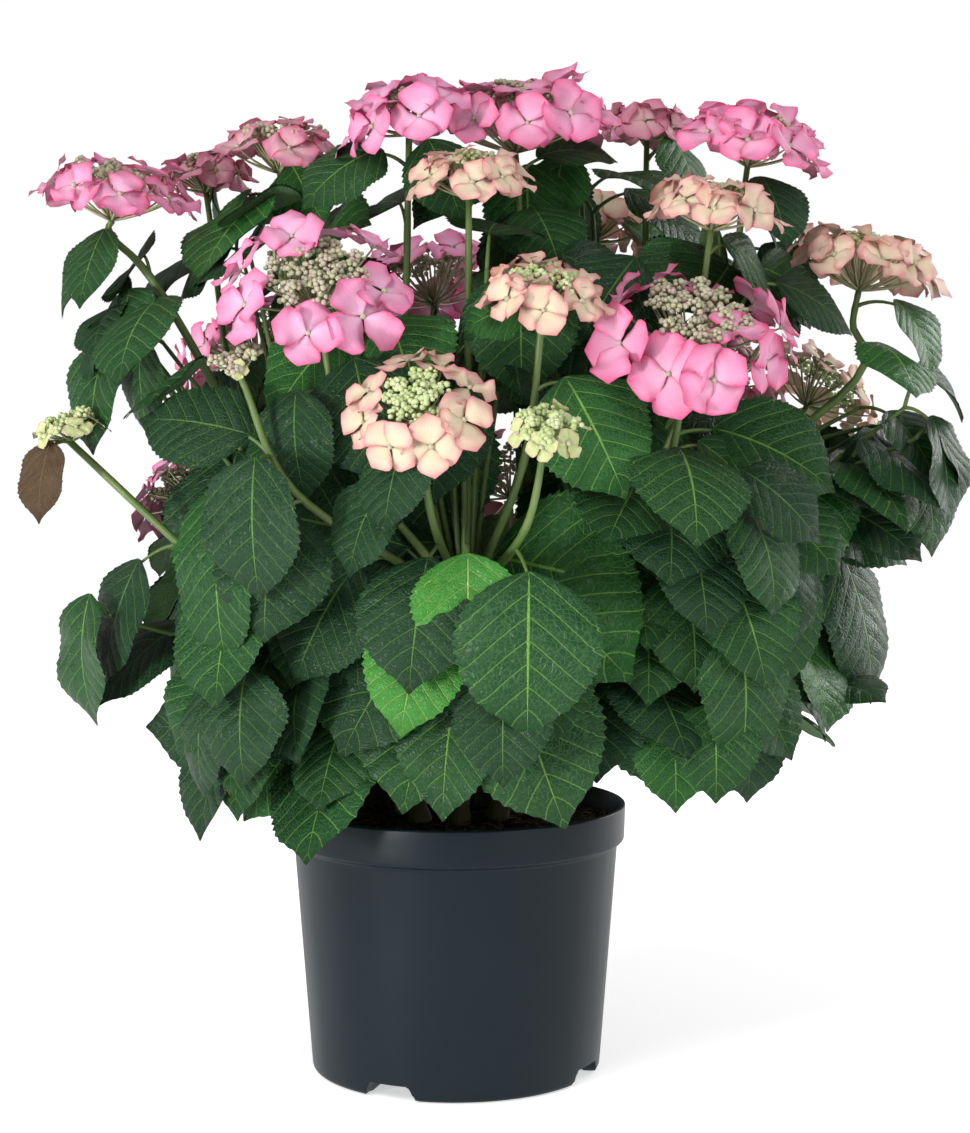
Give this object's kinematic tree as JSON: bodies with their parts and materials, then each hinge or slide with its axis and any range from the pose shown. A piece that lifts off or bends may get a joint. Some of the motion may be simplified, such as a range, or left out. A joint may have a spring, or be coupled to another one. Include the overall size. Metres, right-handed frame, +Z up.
{
  "type": "lacecap hydrangea shrub in a nursery pot",
  "caption": "Rounded lacecap hydrangea shrub: green canes, broad toothed leaves and flat pink and cream flower heads, in a round dark pot.",
  "frame": {"origin": "centre of the pot's flat underside, on the surface that the pot stands on", "axes": "+Z up, along the shrub's longest side; its front faces -Y and its longer level side runs along X"},
  "size_m": [0.7443, 0.6228, 0.8204],
  "materials": {
    "pot": "satin",
    "soil": "matte",
    "cane": "satin",
    "leaf": "satin",
    "flower_pink": "matte",
    "flower_cream": "matte",
    "bud": "matte"
  },
  "bodies": {
    "root": {"pot": "pot", "soil": "soil", "cane_front_left": "cane", "cane_front_mid": "cane", "cane_front_right": "cane", "cane_right": "cane", "cane_back_right": "cane", "cane_back_left": "cane", "cane_left": "cane", "bough_left_high": "cane", "bough_left_low": "cane", "bough_right_high": "cane", "foliage_core": "leaf", "foliage_low_front_left": "leaf", "foliage_low_front_mid": "leaf", "foliage_low_front_right": "leaf", "foliage_low_right": "leaf", "foliage_low_left": "leaf", "foliage_low_back_left": "leaf", "foliage_low_back_right": "leaf", "foliage_mid_front_left": "leaf", "foliage_mid_front": "leaf", "foliage_mid_front_right": "leaf", "foliage_mid_right": "leaf", "foliage_high_left": "leaf", "foliage_high_mid_left": "leaf", "foliage_high_front": "leaf", "foliage_high_mid": "leaf", "foliage_high_front_right": "leaf", "foliage_high_right": "leaf", "foliage_high_back_left": "leaf", "foliage_high_back_right": "leaf", "foliage_branch_leaves_high": "leaf", "foliage_branch_leaves_low": "leaf", "foliage_low_hanging_left": "leaf", "foliage_low_hanging_front": "leaf", "head_left_tip": "flower_pink", "head_left_back": "flower_pink", "head_left_mid": "flower_pink", "head_left_front": "flower_pink", "head_top_mid": "flower_pink", "head_right_top": "flower_pink", "head_right_back": "flower_pink", "head_right_front": "flower_pink", "head_back_left": "flower_pink", "head_back_mid": "flower_pink", "head_back_right": "flower_pink", "head_back_low": "flower_pink", "head_left_side": "flower_pink", "head_top_left": "flower_pink", "head_cream_mid": "flower_cream", "head_cream_right": "flower_cream", "head_right_tip": "flower_cream", "head_cream_front": "flower_cream", "head_centre_low": "flower_cream", "head_back_high": "flower_cream", "head_back_side": "flower_cream", "head_green_low": "bud", "head_brown_bud": "bud", "head_left_green": "bud"}
  },
  "joints": []
}
